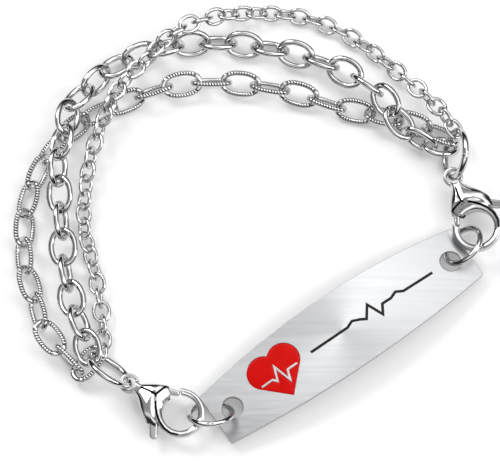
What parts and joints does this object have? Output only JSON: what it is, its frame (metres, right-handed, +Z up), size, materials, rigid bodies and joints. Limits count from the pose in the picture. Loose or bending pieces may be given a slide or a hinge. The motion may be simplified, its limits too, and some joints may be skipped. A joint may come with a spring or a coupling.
{
  "type": "medical alert bracelet",
  "caption": "Medical alert bracelet laid as an open loop: curved engraved identity plate with a red enamel emblem, a lobster clasp at each end and loose mixed chains.",
  "frame": {"origin": "centre of the bounding box in X and Y, on the surface that the bracelet lies on", "axes": "+X from the left clasp towards the right clasp side, the longest extent; +Y from the plate towards the chains; +Z up from the surface, the shortest extent"},
  "size_m": [0.0727, 0.0676, 0.0074],
  "materials": {
    "polished_steel": "mirror polished stainless steel",
    "brushed_plate": "fine satin, brushed along the plate",
    "red_enamel": "glossy hard enamel",
    "black_fill": "satin black paint in the engraving"
  },
  "bodies": {
    "root": {"id_plate": "brushed_plate", "enamel_emblem": "red_enamel", "engraving_fill": "black_fill", "left_plate_ring": "polished_steel", "right_plate_ring": "polished_steel", "left_clasp_body": "polished_steel", "left_clasp_pin": "polished_steel", "right_clasp_body": "polished_steel", "right_clasp_pin": "polished_steel", "left_chain_ring": "polished_steel", "right_chain_ring": "polished_steel", "fine_chain": "polished_steel", "cable_chain": "polished_steel", "milled_chain": "polished_steel"},
    "left_lever": {"left_clasp_lever": "polished_steel"},
    "right_lever": {"right_clasp_lever": "polished_steel"}
  },
  "joints": [
    {"name": "left_clasp_lever", "type": "hinge", "parent": "root", "child": "left_lever", "pos_m": [-0.01514, -0.02758, 0.00279], "axis": [0.0281, 0.0543, -0.9981], "range_deg": [0, 20], "stiffness_Nm_per_rad": 0.02, "springref_deg": -20.05},
    {"name": "right_clasp_lever", "type": "hinge", "parent": "root", "child": "right_lever", "pos_m": [0.03082, 0.00246, 0.00329], "axis": [-0.1796, -0.0115, 0.9837], "range_deg": [0, 20], "stiffness_Nm_per_rad": 0.02, "springref_deg": -20.05}
  ]
}
